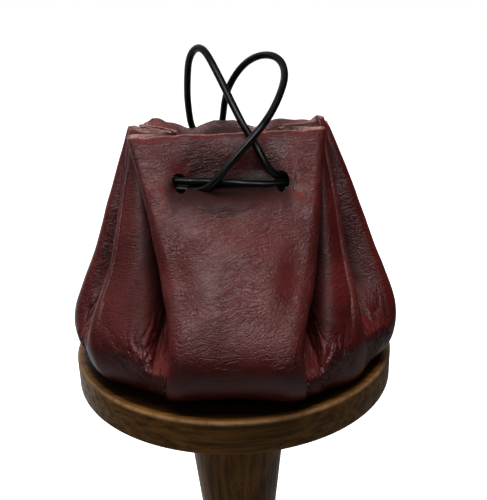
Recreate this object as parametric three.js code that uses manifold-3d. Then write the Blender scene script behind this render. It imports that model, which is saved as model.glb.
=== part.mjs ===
// A leather drawstring pouch standing on a turned wooden stand.
// Millimetres, +Z up, origin at the centre of the stand's underside, the pouch's front towards -Y.
import * as THREE from 'three';
import { mergeVertices } from 'three/addons/utils/BufferGeometryUtils.js';
import Module from 'manifold-3d';

const wasm = await Module();
wasm.setup();

// Stand
const STAND_HEIGHT = 118;
const PLATE_RADIUS = 48;
const PLATE_THICKNESS = 9.6;
const PLATE_EDGE_ROUND = 0.9;
const STEM_TOP_RADIUS = 18;
const STEM_WAIST_RADIUS = 11;
const STEM_WAIST_HEIGHT = 38;
const STEM_FOOT_RADIUS = 19;
const STEM_ROWS = 9;
const FOOT_RADIUS = 42;
const FOOT_THICKNESS = 11;
const FOOT_EDGE_ROUND = 2.4;
const TURNED_SEGMENTS = 44;
const GAP = 0.3;

// Pouch, with heights measured from the top of the stand's plate
const LEATHER = 1.1;
const RIM_HEIGHT = 65;
const WAIST_HEIGHT = 34;
const BELLY_HEIGHT = 8;
const BASE_SHARE = 0.87;
const BELLY_BREADTH_SHARE = 0.8;
const LAYER_PITCH = 2.55;
const PANEL_COLUMNS = 16;
const OUTER_LAYER = 4;
const PANEL_BOW = { belly: 0.4, waist: 2, rim: 0.3 };
const FRONT_LIFT = { by: 1.6, spread: 10 };
const BACK_FLARE = { by: 1.5, from: 55 };
const NOSE_REACH = 0.45;
const WALL_ROWS = 15;
const CORNER_ROWS = 3;

// Drawstring, with the holes in the dents that it pulls into the front and back panels
const CORD_DIAMETER = 2;
const CORD_SIDES = 8;
const SPAN_STEPS = 13;
const LOOP_STEPS = 27;
const CORD_LEVEL = 52.5;
const RUN_OFFSET = 17.4;
const DENT = { depth: 7.6, height: 51.3, below: 3.8, above: 7, flat: 9.5, edge: 16.5 };
const TUCK_PUSH = { by: 6.5, spread: 9 };
const HOLE = { inner: 9.6, outer: 17, depth: 16.3, halfDepth: 1.85, halfHeight: 3, tilt: 0.4, sides: 16 };

// One row for each fold, in order round the pouch from the front by the left: ridges stand out and
// tucks go in. Places are at the belly and the waist, x and y, and at the rim, x and the layer in the
// stack of folded layers there, from -4 in front to 4 at the back. lift is the rim's extra height and
// breadth the fold's width at the waist.
const FOLD_COLUMNS = ['name', 'bellyX', 'bellyY', 'waistX', 'waistY', 'rimX', 'layer', 'lift', 'breadth'];
const FOLDS = [
  ['front_left', -13.8, -43.2, -18.0, -28.4, -26.4, -4, -0.6, 5],
  ['tuck_left_1', -18.6, -40.0, -13.5, -9.0, -14.5, -3, -0.2, 4],
  ['left_1', -38.0, -28.3, -31.4, -19.2, -26.4, -2, 0.9, 4.5],
  ['tuck_left_2', -40.4, -23.2, -18.5, -5.0, -15.5, -1, -2.4, 4],
  ['left_2', -45.2, -13.0, -37.5, -8.0, -27.4, 0, -0.3, 8],
  ['tuck_left_3', -45.0, 4.0, -17.0, 5.0, -15.5, 1, -2.4, 4],
  ['left_3', -42.0, 20.0, -33.5, 14.5, -25.0, 2, -1.0, 4.5],
  ['tuck_left_4', -25.4, 34.0, -14.5, 12.0, -14.5, 3, -2.2, 4],
  ['back_left', -16.5, 41.4, -18.5, 28.4, -25.8, 4, -0.9, 5],
  ['back_right', 15.5, 41.8, 19.5, 28.4, 25.8, 4, -0.9, 5],
  ['tuck_right_4', 24.8, 34.5, 15.0, 12.0, 14.5, 3, -2.2, 4],
  ['right_3', 41.5, 21.0, 33.0, 15.0, 25.0, 2, -0.6, 4.5],
  ['tuck_right_3', 44.8, 4.0, 17.5, 5.0, 15.5, 1, -2.4, 4],
  ['right_2', 46.2, -15.0, 37.5, -8.0, 27.4, 0, 0.3, 8],
  ['tuck_right_2', 36.7, -26.4, 18.5, -5.0, 15.5, -1, -2.4, 4],
  ['right_1', 33.0, -31.5, 30.1, -19.5, 25.8, -2, 2.4, 4.5],
  ['tuck_right_1', 18.9, -41.3, 14.0, -9.0, 14.5, -3, 0.9, 4],
  ['front_right', 14.4, -44.6, 21.3, -28.4, 25.2, -4, 0.2, 5],
].map((row) => Object.fromEntries(row.map((value, i) => [FOLD_COLUMNS[i], value])));

// Dips of the back rim where the two loops of the drawstring lie over it, and a hump at its left end
const RIM_DIPS = [
  { x: -10.3, depth: 2.2, spread: 3.4 },
  { x: 8.8, depth: 2, spread: 4 },
  { x: -21.4, depth: -1.5, spread: 2.2 },
];

// Routes of the drawstring's stretches, heights from the plate's top. Each begins and ends in the
// middle of a run inside the pouch, where the next stretch meets it.
const RIGHT_LOOP = [
  [-17.4, -0.15, 51.1], [-17.4, -6, 51.1], [-17.3, -11.2, 51.1], [-16, -15, 51.1],
  [-12.6, -16.6, 51.1], [-9.4, -17.2, 50.9], [-6.6, -18.4, 51.3], [-4, -19.3, 53.2],
  [-0.6, -19.4, 57], [3.8, -18.6, 61.6], [7.8, -17.2, 65.9], [10.6, -15, 69],
  [13.1, -12, 72.7], [14.9, -8.5, 76.3], [15.6, -5, 79.3], [14.5, -1.8, 82.3],
  [11.1, 1.5, 83.4], [7.4, 4.5, 82.3], [4.2, 7.4, 79.6], [1.1, 10, 74.9],
  [-0.6, 12.8, 69.8], [-1.5, 14.9, 64], [-3.4, 16.6, 58.6], [-6, 17.3, 55.2],
  [-9.2, 17.2, 53.8], [-12.6, 16.6, 53.3], [-16, 15, 53.3], [-17.3, 11.2, 53.3],
  [-17.4, 6, 53.3], [-17.4, 0.15, 53.3],
];
const LEFT_LOOP = [
  [17.4, 0.15, 51.7], [17.4, 6, 51.7], [17.3, 11.2, 51.7], [16, 15, 51.7],
  [12.6, 16.6, 51.7], [8.5, 17.7, 51.3], [4.5, 19, 51.9], [0, 19.9, 53.6],
  [-4.5, 19.9, 56.2], [-8.6, 17, 59.2], [-10.6, 14.4, 62.2], [-11.2, 13, 66],
  [-11.4, 10.8, 72.3], [-11, 8.2, 77], [-10.4, 5.5, 81.1], [-9.4, 3, 83.9],
  [-7.1, 0, 85.9], [-4.5, -3.5, 83.6], [-2.8, -5.8, 80.6], [-0.8, -8.2, 76.7],
  [1.1, -10.5, 72.8], [3.1, -12.6, 68.8], [4.8, -13.9, 65.6], [7.4, -15.3, 61.5],
  [9.2, -16.8, 58], [10.9, -17.2, 55.6], [13, -16.5, 54.2], [15.4, -14.7, 53.8],
  [17, -11.4, 53.8], [17.4, -7, 53.9], [17.4, -0.15, 53.9],
];
const FRONT_SPAN = [
  [-17.4, -0.15, 53.3], [-17.4, -6, 53.3], [-17.3, -11.2, 53.3], [-16, -15, 53.3],
  [-12.6, -16.6, 53.3], [0, -16.7, 52.5], [12.6, -16.6, 51.7], [16, -15, 51.7],
  [17.3, -11.2, 51.7], [17.4, -6, 51.7], [17.4, -0.15, 51.7],
];
const BACK_SPAN = [
  [17.4, 0.15, 53.9], [17.4, 6, 53.9], [17.3, 11.2, 53.9], [16, 15, 53.9],
  [12.6, 16.6, 53.9], [0, 16.7, 52.5], [-12.6, 16.6, 51.1], [-16, 15, 51.1],
  [-17.3, 11.2, 51.1], [-17.4, 6, 51.1], [-17.4, 0.15, 51.1],
];

const smooth = (t) => {
  const c = Math.min(1, Math.max(0, t));
  return c * c * (3 - 2 * c);
};
const bell = (t) => Math.exp(-t * t);

// Value at share u of the wall's height, on a cubic through the belly, waist and rim that never
// overshoots them. It leaves the belly upright where lean is 0 and straight for the waist where it is 1.
const WAIST_SHARE = (WAIST_HEIGHT - BELLY_HEIGHT) / (RIM_HEIGHT - BELLY_HEIGHT);
function throughLevels(belly, waist, rim, u, lean = 0) {
  const lower = WAIST_SHARE;
  const upper = 1 - WAIST_SHARE;
  const lowerSlope = (waist - belly) / lower;
  const upperSlope = (rim - waist) / upper;
  const turns = lowerSlope * upperSlope <= 0;
  const waistSlope = turns ? 0 : 3 / ((1 + upper) / lowerSlope + (1 + lower) / upperSlope);
  const hermite = (a, b, slopeA, slopeB, span, t) => a * (1 + 2 * t) * (1 - t) ** 2
    + b * t * t * (3 - 2 * t) + span * (slopeA * t * (1 - t) ** 2 - slopeB * t * t * (1 - t));
  if (u < lower) return hermite(belly, waist, lean * lowerSlope, waistSlope, lower, u / lower);
  return hermite(waist, rim, waistSlope, upperSlope, upper, (u - lower) / upper);
}

// A fold's rounded nose at share u: its two corners, across the way round the pouch
function foldNose(fold, u) {
  const lean = fold.name.startsWith('tuck') ? 1 : 0;
  const height = BELLY_HEIGHT + u * (RIM_HEIGHT - BELLY_HEIGHT);
  const inTheWay = lean === 1 && Math.abs(fold.rimX) < RUN_OFFSET;
  const push = Math.sign(fold.rimX) * TUCK_PUSH.by * bell((height - CORD_LEVEL) / TUCK_PUSH.spread);
  const x = throughLevels(fold.bellyX, fold.waistX, fold.rimX, u, lean) + (inTheWay ? push : 0);
  const y = throughLevels(fold.bellyY, fold.waistY, fold.layer * LAYER_PITCH, u, lean);
  const breadth = throughLevels(BELLY_BREADTH_SHARE * fold.breadth, fold.breadth, LAYER_PITCH, u);
  const radial = Math.atan2(fold.bellyY, fold.bellyX);
  const sideways = fold.bellyX < 0 ? Math.PI * (fold.bellyY < 0 ? -1 : 1) : 0;
  const heading = radial + (sideways - radial) * smooth(u);
  const along = new THREE.Vector2(Math.sin(heading), -Math.cos(heading));
  const centre = new THREE.Vector2(x, y);
  return {
    first: centre.clone().addScaledVector(along, -breadth / 2),
    last: centre.clone().addScaledVector(along, breadth / 2),
    along,
    breadth,
    top: RIM_HEIGHT + fold.lift,
  };
}

// How far the drawn cord presses a panel in at a place on it
function dentAt(x, height) {
  const across = smooth((DENT.edge - Math.abs(x)) / (DENT.edge - DENT.flat));
  const off = height - DENT.height;
  return DENT.depth * across * bell(off / (off < 0 ? DENT.below : DENT.above));
}

// How far the back panel leans outwards near its rim
const backFlare = (face, height) => (face < 0 ? 0
  : BACK_FLARE.by * smooth((height - BACK_FLARE.from) / (RIM_HEIGHT - BACK_FLARE.from)));

const rimDip = (x) => RIM_DIPS.reduce((sum, dip) => sum + dip.depth * bell((x - dip.x) / dip.spread), 0);

// The leather's middle surface at share u: points round the pouch, four on each fold's nose and
// PANEL_COLUMNS - 1 across each of the front and back panels
function wallRing(u) {
  const noses = FOLDS.map((fold) => foldNose(fold, u));
  const ring = [];
  const rise = (top) => BELLY_HEIGHT + u * (top - BELLY_HEIGHT);
  const rounded = noses.map((nose, i) => {
    const before = noses[(i + noses.length - 1) % noses.length];
    const after = noses[(i + 1) % noses.length];
    const legIn = nose.first.clone().sub(before.last);
    const legOut = after.first.clone().sub(nose.last);
    const reach = Math.min(nose.breadth / 2, NOSE_REACH * Math.min(legIn.length(), legOut.length()));
    const start = nose.first.clone().addScaledVector(legIn.normalize(), -reach);
    const end = nose.last.clone().addScaledVector(legOut.normalize(), reach);
    const corner = (a, tip, along) => a.clone().multiplyScalar(0.25).addScaledVector(tip, 0.75)
      .addScaledVector(nose.along, 0.25 * along);
    return { start, end, first: corner(start, nose.first, reach), last: corner(end, nose.last, -reach) };
  });
  noses.forEach((nose, i) => {
    const { start, first, last, end } = rounded[i];
    [start, first, last, end].forEach((p) => ring.push(new THREE.Vector3(p.x, p.y, rise(nose.top))));
    const next = (i + 1) % noses.length;
    const isPanel = [i, next].every((n) => Math.abs(FOLDS[n].layer) === OUTER_LAYER);
    if (!isPanel) return;
    const face = Math.sign(FOLDS[i].bellyY);
    const bow = throughLevels(PANEL_BOW.belly, PANEL_BOW.waist, PANEL_BOW.rim, u);
    for (let k = 1; k < PANEL_COLUMNS; k += 1) {
      const t = k / PANEL_COLUMNS;
      const p = end.clone().lerp(rounded[next].start, t);
      let top = nose.top + (noses[next].top - nose.top) * t;
      if (face > 0) top -= rimDip(p.x);
      const height = rise(top);
      const out = face * (bow * 4 * t * (1 - t) - dentAt(p.x, height)) + backFlare(face, height);
      ring.push(new THREE.Vector3(p.x, p.y + out, height));
    }
  });
  return ring;
}

// The base arches off the plate between the front panel's two lower corners
const frontLift = (p) => (p.y < 0 ? FRONT_LIFT.by * bell(p.x / FRONT_LIFT.spread) : 0);

// The pouch: rings from the flat base up the rounded belly and the folded wall, given the leather's
// thickness to both sides along the surface's own direction
function pouchGeometry() {
  const belly = wallRing(0);
  const rings = [];
  for (let k = 0; k < CORNER_ROWS; k += 1) {
    const angle = (k / CORNER_ROWS) * Math.PI / 2;
    const share = BASE_SHARE + (1 - BASE_SHARE) * Math.sin(angle);
    const climb = 1 - Math.cos(angle);
    rings.push(belly.map((p) => {
      const low = LEATHER / 2 + frontLift(p);
      return new THREE.Vector3(p.x * share, p.y * share, low + (BELLY_HEIGHT - low) * climb);
    }));
  }
  for (let k = 0; k <= WALL_ROWS; k += 1) rings.push(wallRing(k / WALL_ROWS));
  const columns = belly.length;
  const centre = new THREE.Vector3(0, 0, LEATHER / 2);
  const at = (i, j) => (i < 0 ? centre : rings[Math.min(i, rings.length - 1)][(j + columns) % columns]);
  const outward = (i, j) => {
    const up = at(i + 1, j).clone().sub(at(i - 1, j));
    const round = at(i, j + 1).clone().sub(at(i, j - 1));
    return up.cross(round).normalize();
  };
  const vertices = [];
  const addSide = (side) => {
    const first = vertices.length / 3;
    rings.forEach((ring, i) => ring.forEach((p, j) => {
      const q = p.clone().addScaledVector(outward(i, j), side * LEATHER / 2);
      vertices.push(q.x, q.y, q.z);
    }));
    vertices.push(0, 0, (1 - side) * LEATHER / 2);
    return (i, j) => (i < 0 ? first + rings.length * columns : first + i * columns + (j % columns));
  };
  const outer = addSide(1);
  const inner = addSide(-1);
  const faces = [];
  const quad = (a, b, c, d) => faces.push(a, d, b, b, d, c);
  for (let j = 0; j < columns; j += 1) {
    faces.push(outer(-1, 0), outer(0, j), outer(0, j + 1));
    faces.push(inner(-1, 0), inner(0, j + 1), inner(0, j));
    for (let i = 0; i + 1 < rings.length; i += 1) {
      quad(outer(i, j), outer(i, j + 1), outer(i + 1, j + 1), outer(i + 1, j));
      quad(inner(i, j + 1), inner(i, j), inner(i + 1, j), inner(i + 1, j + 1));
    }
    const rim = rings.length - 1;
    quad(outer(rim, j), outer(rim, j + 1), inner(rim, j + 1), inner(rim, j));
  }
  const geometry = new THREE.BufferGeometry();
  geometry.setAttribute('position', new THREE.Float32BufferAttribute(vertices, 3));
  geometry.setIndex(faces);
  return geometry;
}

function toSolid(geometry) {
  const bare = geometry.clone();
  bare.deleteAttribute('normal');
  bare.deleteAttribute('uv');
  const merged = mergeVertices(bare);
  return new wasm.Manifold(new wasm.Mesh({
    numProp: 3,
    vertProperties: new Float32Array(merged.attributes.position.array),
    triVerts: new Uint32Array(merged.index.array),
  }));
}

function toGeometry(solid) {
  const mesh = solid.getMesh();
  const geometry = new THREE.BufferGeometry();
  geometry.setAttribute('position', new THREE.BufferAttribute(mesh.vertProperties, 3));
  geometry.setIndex(new THREE.BufferAttribute(mesh.triVerts, 1));
  geometry.computeVertexNormals();
  return geometry;
}

// An oval hole across the slanting end of a dent, wide enough for two passes of the cord
function holeCutter(side, face) {
  const length = HOLE.outer - HOLE.inner;
  const cutter = new THREE.CylinderGeometry(1, 1, length, HOLE.sides);
  cutter.rotateZ(Math.PI / 2);
  cutter.scale(1, HOLE.halfDepth, HOLE.halfHeight);
  cutter.translate(side * (HOLE.inner + length / 2), face * HOLE.depth, CORD_LEVEL + side * HOLE.tilt);
  return toSolid(cutter);
}

function drawnPouch() {
  let leather = toSolid(pouchGeometry());
  [[-1, -1], [1, -1], [-1, 1], [1, 1]].forEach(([side, face]) => {
    leather = leather.subtract(holeCutter(side, face));
  });
  return toGeometry(leather);
}

function cord(route, steps) {
  const path = new THREE.CatmullRomCurve3(route.map((p) => new THREE.Vector3(...p)));
  const section = new THREE.Shape();
  for (let k = 0; k < CORD_SIDES; k += 1) {
    const angle = (k / CORD_SIDES) * 2 * Math.PI;
    const point = [Math.cos(angle) * CORD_DIAMETER / 2, Math.sin(angle) * CORD_DIAMETER / 2];
    if (k === 0) section.moveTo(...point);
    else section.lineTo(...point);
  }
  section.closePath();
  return new THREE.ExtrudeGeometry(section, { steps, extrudePath: path, bevelEnabled: false });
}

// A turned piece from its profile, radius and height pairs from the axis at the bottom to the top
function turned(profile) {
  const geometry = new THREE.LatheGeometry(profile.map((p) => new THREE.Vector2(...p)), TURNED_SEGMENTS);
  geometry.rotateX(Math.PI / 2);
  return geometry;
}

// A disc with quarter-round edges
function discProfile(radius, bottom, top, edge) {
  const quarter = [0, 1, 2].map((k) => (k / 2) * Math.PI / 2);
  const lower = quarter.map((a) => [radius - edge + edge * Math.sin(a), bottom + edge - edge * Math.cos(a)]);
  const upper = quarter.map((a) => [radius - edge + edge * Math.cos(a), top - edge + edge * Math.sin(a)]);
  return [[0, bottom], ...lower, ...upper, [0, top]];
}

// The stem tapers from the plate to its waist and swells again to the foot
function stemProfile() {
  const bottom = FOOT_THICKNESS + GAP;
  const top = STAND_HEIGHT - PLATE_THICKNESS - GAP;
  const radiusAt = (z) => {
    const taper = Math.max(0, (z - STEM_WAIST_HEIGHT) / (top - STEM_WAIST_HEIGHT));
    const swell = 1 - smooth((z - bottom) / (STEM_WAIST_HEIGHT - bottom));
    return STEM_WAIST_RADIUS + (STEM_TOP_RADIUS - STEM_WAIST_RADIUS) * taper
      + (STEM_FOOT_RADIUS - STEM_WAIST_RADIUS) * swell;
  };
  const levels = Array.from({ length: STEM_ROWS + 1 }, (_, k) => bottom + (top - bottom) * (k / STEM_ROWS));
  return [[0, bottom], ...levels.map((z) => [radiusAt(z), z]), [0, top]];
}

const finish = (color, roughness) => new THREE.MeshStandardMaterial({ color, roughness, metalness: 0 });
const wood = () => finish(0x4a301a, 0.45);
const cordLeather = () => finish(0x141512, 0.35);

function piece(name, geometry, material) {
  const mesh = new THREE.Mesh(geometry, material);
  mesh.name = name;
  return mesh;
}

const foot = discProfile(FOOT_RADIUS, 0, FOOT_THICKNESS, FOOT_EDGE_ROUND);
const plate = discProfile(PLATE_RADIUS, STAND_HEIGHT - PLATE_THICKNESS, STAND_HEIGHT, PLATE_EDGE_ROUND);
const stand = new THREE.Group();
stand.add(
  piece('stand_foot', turned(foot), wood()),
  piece('stand_stem', turned(stemProfile()), wood()),
  piece('stand_plate', turned(plate), wood()),
);

const pouch = new THREE.Group();
pouch.position.z = STAND_HEIGHT + GAP;
pouch.add(
  piece('pouch_leather', drawnPouch(), finish(0x4a1a1a, 0.5)),
  piece('drawstring_front_span', cord(FRONT_SPAN, SPAN_STEPS), cordLeather()),
  piece('drawstring_back_span', cord(BACK_SPAN, SPAN_STEPS), cordLeather()),
  piece('drawstring_right_loop', cord(RIGHT_LOOP, LOOP_STEPS), cordLeather()),
  piece('drawstring_left_loop', cord(LEFT_LOOP, LOOP_STEPS), cordLeather()),
);

const part = new THREE.Group();
part.add(stand, pouch);

export default part;
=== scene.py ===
import math

import bpy
import numpy as np
from mathutils import Matrix, Vector


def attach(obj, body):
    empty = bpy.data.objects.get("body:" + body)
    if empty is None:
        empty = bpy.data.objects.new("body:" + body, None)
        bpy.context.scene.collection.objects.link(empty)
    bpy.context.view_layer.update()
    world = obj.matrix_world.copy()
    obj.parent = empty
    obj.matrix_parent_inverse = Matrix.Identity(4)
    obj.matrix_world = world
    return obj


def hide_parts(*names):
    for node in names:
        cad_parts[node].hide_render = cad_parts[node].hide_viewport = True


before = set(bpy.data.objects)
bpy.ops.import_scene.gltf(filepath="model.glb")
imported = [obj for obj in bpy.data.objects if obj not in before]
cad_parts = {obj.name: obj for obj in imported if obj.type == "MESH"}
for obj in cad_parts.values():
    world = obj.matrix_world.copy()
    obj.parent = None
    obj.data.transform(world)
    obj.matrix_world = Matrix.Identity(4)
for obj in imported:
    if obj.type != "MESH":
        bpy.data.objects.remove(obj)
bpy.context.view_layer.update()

MM = 0.001
TINY = 1e-9
NOISE_VALUES = 4096
NOISE_STRIDES = (73856093, 19349663, 83492791)

# Camera and floor: focal length and frame in pixels, turns in degrees, places and sizes in metres
FOCAL_PIXELS = 650.0
FRAME_PIXELS = 500.0
CAMERA_PITCH = 19.764
CAMERA_YAW = 1.1317
CAMERA_ROLL = -1.4425
CAMERA_BACK = 0.18356
CAMERA_ABOVE_PLATE = 0.09378
FLOOR_HALF_WIDTH = 6.0

# Stand, in millimetres
STAND_HEIGHT = 118.0
PLATE_RADIUS = 48.0
PLATE_THICKNESS = 9.6
PLATE_ROUND = 0.9
STEM_TOP_RADIUS = 18.0
STEM_WAIST_RADIUS = 11.0
STEM_WAIST_HEIGHT = 38.0
STEM_FOOT_RADIUS = 19.0
FOOT_RADIUS = 42.0
FOOT_THICKNESS = 11.0
FOOT_LOWER_ROUND = 1.2
FOOT_UPPER_ROUND = 3.0
GAP = 0.3
WOOD_SHARP_DEG = 60.0

# Pouch, in millimetres, with heights from the underside of its base
POUCH_LEVEL = STAND_HEIGHT + GAP
LEATHER = 1.1
RIM_HEIGHT = 65.0
WAIST_HEIGHT = 34.0
BELLY_HEIGHT = 11.0
BASE_SHARE = 0.87
WIDE_BASE_FOLD = "right_1"
WIDE_BASE_SHARE = 0.97
WIDE_BASE_SPREAD = 16.0
BELLY_BREADTH_SHARE = 0.8
LAYER_PITCH = 2.55
OUTER_LAYER = 4
PANEL_BOW = (0.1, 1.1, 0.3)
FRONT_LIFT = 1.6
FRONT_LIFT_SPREAD = 10.0
NOSE_REACH = 0.45
CORD_DIAMETER = 2.0
CORD_STEP = 0.6
CORD_SLACK = 30.0
CORD_HELD_STEPS = 34
CORD_LEVEL = 52.5
RUN_OFFSET = 17.4
DENT_DEPTH = 5.0
DENT_HEIGHT = 51.3
DENT_BELOW = 2.0
DENT_ABOVE = 8.0
DENT_FLAT = 7.5
DENT_EDGE = 19.0
TUCK_PUSH = 6.5
TUCK_PUSH_SPREAD = 9.0
HOLE_X = 13.4
HOLE_HALF_WIDTH = 2.0
HOLE_HALF_HEIGHT = 2.6
HOLE_TILT = 0.1
HOLE_PULL_FADE = 1.6
HOLE_PULL_GROWTH = 0.35
RIM_DIPS = ((-10.3, 2.2, 3.4), (8.8, 2.0, 4.0), (-21.4, -1.5, 2.2))
BACK_FLARE = 1.5
BACK_FLARE_FROM = 55.0
BACK_CURL = 1.1
BACK_CURL_HEIGHT = 3.0
MID_BULGE = 1.3
MID_BULGE_HEIGHT = 31.0
MID_BULGE_SPREAD = 8.0
FOOT_FLARES = {"front_left": -3.4, "front_right": 2.0}
FOOT_FLARE_HEIGHT = 12.0
FOOT_FLARE_SPREAD = 7.0
LEG_BOW = 1.6
LEATHER_SHARP_DEG = 55.0

# The folds in order round the pouch from the front by the left, as in the solid model:
# name, x and y at the belly, x and y at the waist, x and layer at the rim, the rim's extra height,
# and the fold's breadth at the waist
FOLDS = (
    ("front_left", -13.8, -43.2, -18.0, -28.4, -26.4, -4, -0.6, 5.0),
    ("tuck_left_1", -18.6, -40.0, -13.5, -9.0, -14.5, -3, -0.2, 4.0),
    ("left_1", -38.0, -28.3, -31.4, -19.2, -26.4, -2, 0.9, 4.5),
    ("tuck_left_2", -40.4, -23.2, -18.5, -5.0, -15.5, -1, -0.6, 4.0),
    ("left_2", -45.2, -13.0, -37.5, -8.0, -27.4, 0, 0.3, 8.0),
    ("tuck_left_3", -45.0, 4.0, -17.0, 5.0, -15.5, 1, -2.4, 4.0),
    ("left_3", -42.0, 20.0, -33.5, 14.5, -25.0, 2, -0.2, 4.5),
    ("tuck_left_4", -25.4, 34.0, -14.5, 12.0, -14.5, 3, -2.2, 4.0),
    ("back_left", -16.5, 41.4, -18.5, 28.4, -25.8, 4, -0.9, 5.0),
    ("back_right", 15.5, 41.8, 19.5, 28.4, 25.8, 4, -0.9, 5.0),
    ("tuck_right_4", 24.8, 34.5, 15.0, 12.0, 14.5, 3, -2.2, 4.0),
    ("right_3", 41.5, 21.0, 33.0, 15.0, 25.0, 2, -0.6, 4.5),
    ("tuck_right_3", 44.8, 4.0, 17.5, 5.0, 15.5, 1, -2.4, 4.0),
    ("right_2", 46.2, -15.0, 39.5, -8.0, 27.8, 0, 0.3, 8.0),
    ("tuck_right_2", 36.7, -26.4, 18.5, -5.0, 15.5, -1, -2.4, 4.0),
    ("right_1", 33.0, -31.5, 30.1, -19.5, 25.8, -2, 2.4, 4.5),
    ("tuck_right_1", 18.9, -41.3, 14.0, -9.0, 14.5, -3, 0.9, 4.0),
    ("front_right", 14.4, -44.6, 21.3, -28.4, 25.2, -4, 0.2, 5.0),
)
FOLD_NAMES = [row[0] for row in FOLDS]
# Share of its breadth that a fold's nose keeps at mid height, between two shares of the wall's height
NOSE_SHARE = 0.7
CRISP_NOSES = {"left_1": 0.35, "right_1": 0.35}
CRISP_NOSE = np.array([CRISP_NOSES.get(name, NOSE_SHARE) for name in FOLD_NAMES])
CRISP_BY = 0.25
CRISP_UNTIL = 0.6
# The legs that start at these folds stay straight
STRAIGHT_LEGS = ("front_left", "tuck_right_1")
(BELLY_X, BELLY_Y, WAIST_X, WAIST_Y, RIM_X, LAYER, LIFT, BREADTH) = np.array(
    [row[1:] for row in FOLDS]).T
# The two pleats beside the front panel turn in sharply next to it: x and y of the turn at the belly, at
# the waist and at the rim, by the fold at which its leg starts
PLEAT_TURNS = {
    "tuck_left_1": ((-21.8, -38.4), (-21.8, -24.6), (-24.5, -6.3)),
    "right_1": ((22.6, -39.0), (24.0, -25.0), (24.8, -6.3)),
}
# The belly's level at each fold: lower at the feet of the two front tucks
TUCK_LEVELS = {"tuck_left_1": 9.0, "tuck_right_1": 7.5}
BELLY_LEVEL = np.array([TUCK_LEVELS.get(name, BELLY_HEIGHT) for name in FOLD_NAMES])
IS_TUCK = np.array([name.startswith("tuck") for name in FOLD_NAMES])
PANEL_AFTER = (np.abs(LAYER) == OUTER_LAYER) & (np.abs(np.roll(LAYER, -1)) == OUTER_LAYER)
PANEL_BEFORE = np.roll(PANEL_AFTER, 1)
WAIST_SHARE = (WAIST_HEIGHT - BELLY_HEIGHT) / (RIM_HEIGHT - BELLY_HEIGHT)

# Kinds of columns at a fold: its front is the second of four, and the leg or panel after it the last
NOSE_FRONT = 1
LEG = 3
# Columns in each stretch, rows from the base to the rim, and grid cells of a hole
NOSE_STEPS = 4
NOSE_FRONT_STEPS = 2
LEG_STEPS = 20
TURN_STEPS = 56
FRONT_STEPS = 88
BACK_STEPS = 48
BASE_ROWS = 6
BASE_CENTRE_SHARE = 0.06
CORNER_ROWS = 12
WALL_ROWS = 88
RIM_ROWS = 4
HOLE_COLUMNS = 6
HOLE_ROWS = 8

# The leather's unevenness: depths, sizes and reaches in millimetres, the fans' angles in radians
SWELL_DEPTH = 0.30
SWELL_SIZE = 13.0
RIPPLE_DEPTH = 0.16
RIPPLE_SIZE = 5.5
RELIEF_FROM_BASE = 4.0
FAN_FOOT = 2.0
FAN_LENGTH = 11.0
FAN_FADE = 18.0
FAN_ANGLE = 0.95
FAN_ANGLE_FADE = 0.4
FAN_SPOKES = (13.0, 0.11, 3.7)
FAN_WANDER = 0.8
FAN_WANDER_SIZE = 4.0
FAN_RIDGE = 0.25
FAN_CREASE = 0.45
FAN_CREASE_WIDTH = 0.22
PUCKER_DEPTH = 0.22
PUCKER_REACH = 5.0
PUCKER_SPREAD = 3.4
PUCKER_RAYS = 2.6
LIP_X = -1.0
LIP_DEPTH = 0.6
LIP_SPREAD = 14.0
WRINKLE_DEPTH = 0.28
CREASE_HEIGHT = 45.2
CREASE_CURVE = 0.03
CREASE_DEPTH = 0.2
CREASE_SPREAD = 11.0
RAGGED_FINE = 0.22
RAGGED_FINE_SIZE = 2.0
RAGGED_WAVE = 0.3
RAGGED_WAVE_SIZE = 7.0
RIM_BEVEL = 0.18
# Where the finish, the painted highlight along the folds and the painted shade in them change, in
# millimetres from an outward fold, or in the share across a sharp turn's leg
WORN_HIGHLIGHT_SPREAD = 1.2
BESIDE_FOLD = 3.0
BESIDE_SPREAD = 2.6
DEEP_FROM = 5.5
DEEP_FADE = 4.5
TURN_SPREAD = 0.22

# The leather's materials in order
GRAIN = 0
SUEDE = 1
CUT_EDGE = 2
# The grain side's tilt in radians and its bump depths in millimetres
GRAIN_TILT = 0.28
LEVEL_LINE_DEPTH = 0.032
LONG_LINE_DEPTH = 0.052
CELL_DEPTH = 0.036
PEBBLE_DEPTH = 0.03
STRAND_DEPTH = 0.09
FUZZ_DEPTH = 0.04
# How often the wood's streaks change in a millimetre along each axis, in the level and upright pieces
LEVEL_STREAKS = (0.035, 0.55, 0.75)
UPRIGHT_STREAKS = (0.55, 0.55, 0.03)

# Colours, as linear red, green and blue
GRAIN_DEEP_RED = (0.125, 0.0145, 0.0130)
GRAIN_RED = (0.185, 0.0240, 0.0215)
# Painted shade along the grain's cells and creases
GRAIN_CREASE_SHADE = (0.040, 0.0045, 0.0040)
# Painted shadow of the cord's span
GRAIN_CORD_SHADOW = (0.012, 0.0030, 0.0026)
GRAIN_SHADOW = (0.030, 0.0040, 0.0036)
# Paler along the outward folds: partly from rubbing, partly a painted highlight
GRAIN_WORN_HIGHLIGHT = (0.24, 0.080, 0.074)
SUEDE_DARK = (0.55, 0.260, 0.250)
SUEDE_PALE = (0.90, 0.560, 0.540)
SUEDE_NAP = (0.80, 0.480, 0.460)
# Painted shade inside the pouch
SUEDE_INSIDE_SHADE = (0.020, 0.0060, 0.0055)
EDGE_DARK = (0.10, 0.040, 0.036)
EDGE_PALE = (0.34, 0.185, 0.168)
CORD_BLACK = (0.0035, 0.0042, 0.0034)
CORD_SCUFF = (0.012, 0.014, 0.012)
WOOD_DARK = (0.150, 0.060, 0.0095)
WOOD_PALE = (0.415, 0.178, 0.0320)
WOOD_PORE = (0.010, 0.005, 0.0025)
WOOD_TURNING = (0.085, 0.044, 0.020)
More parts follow.
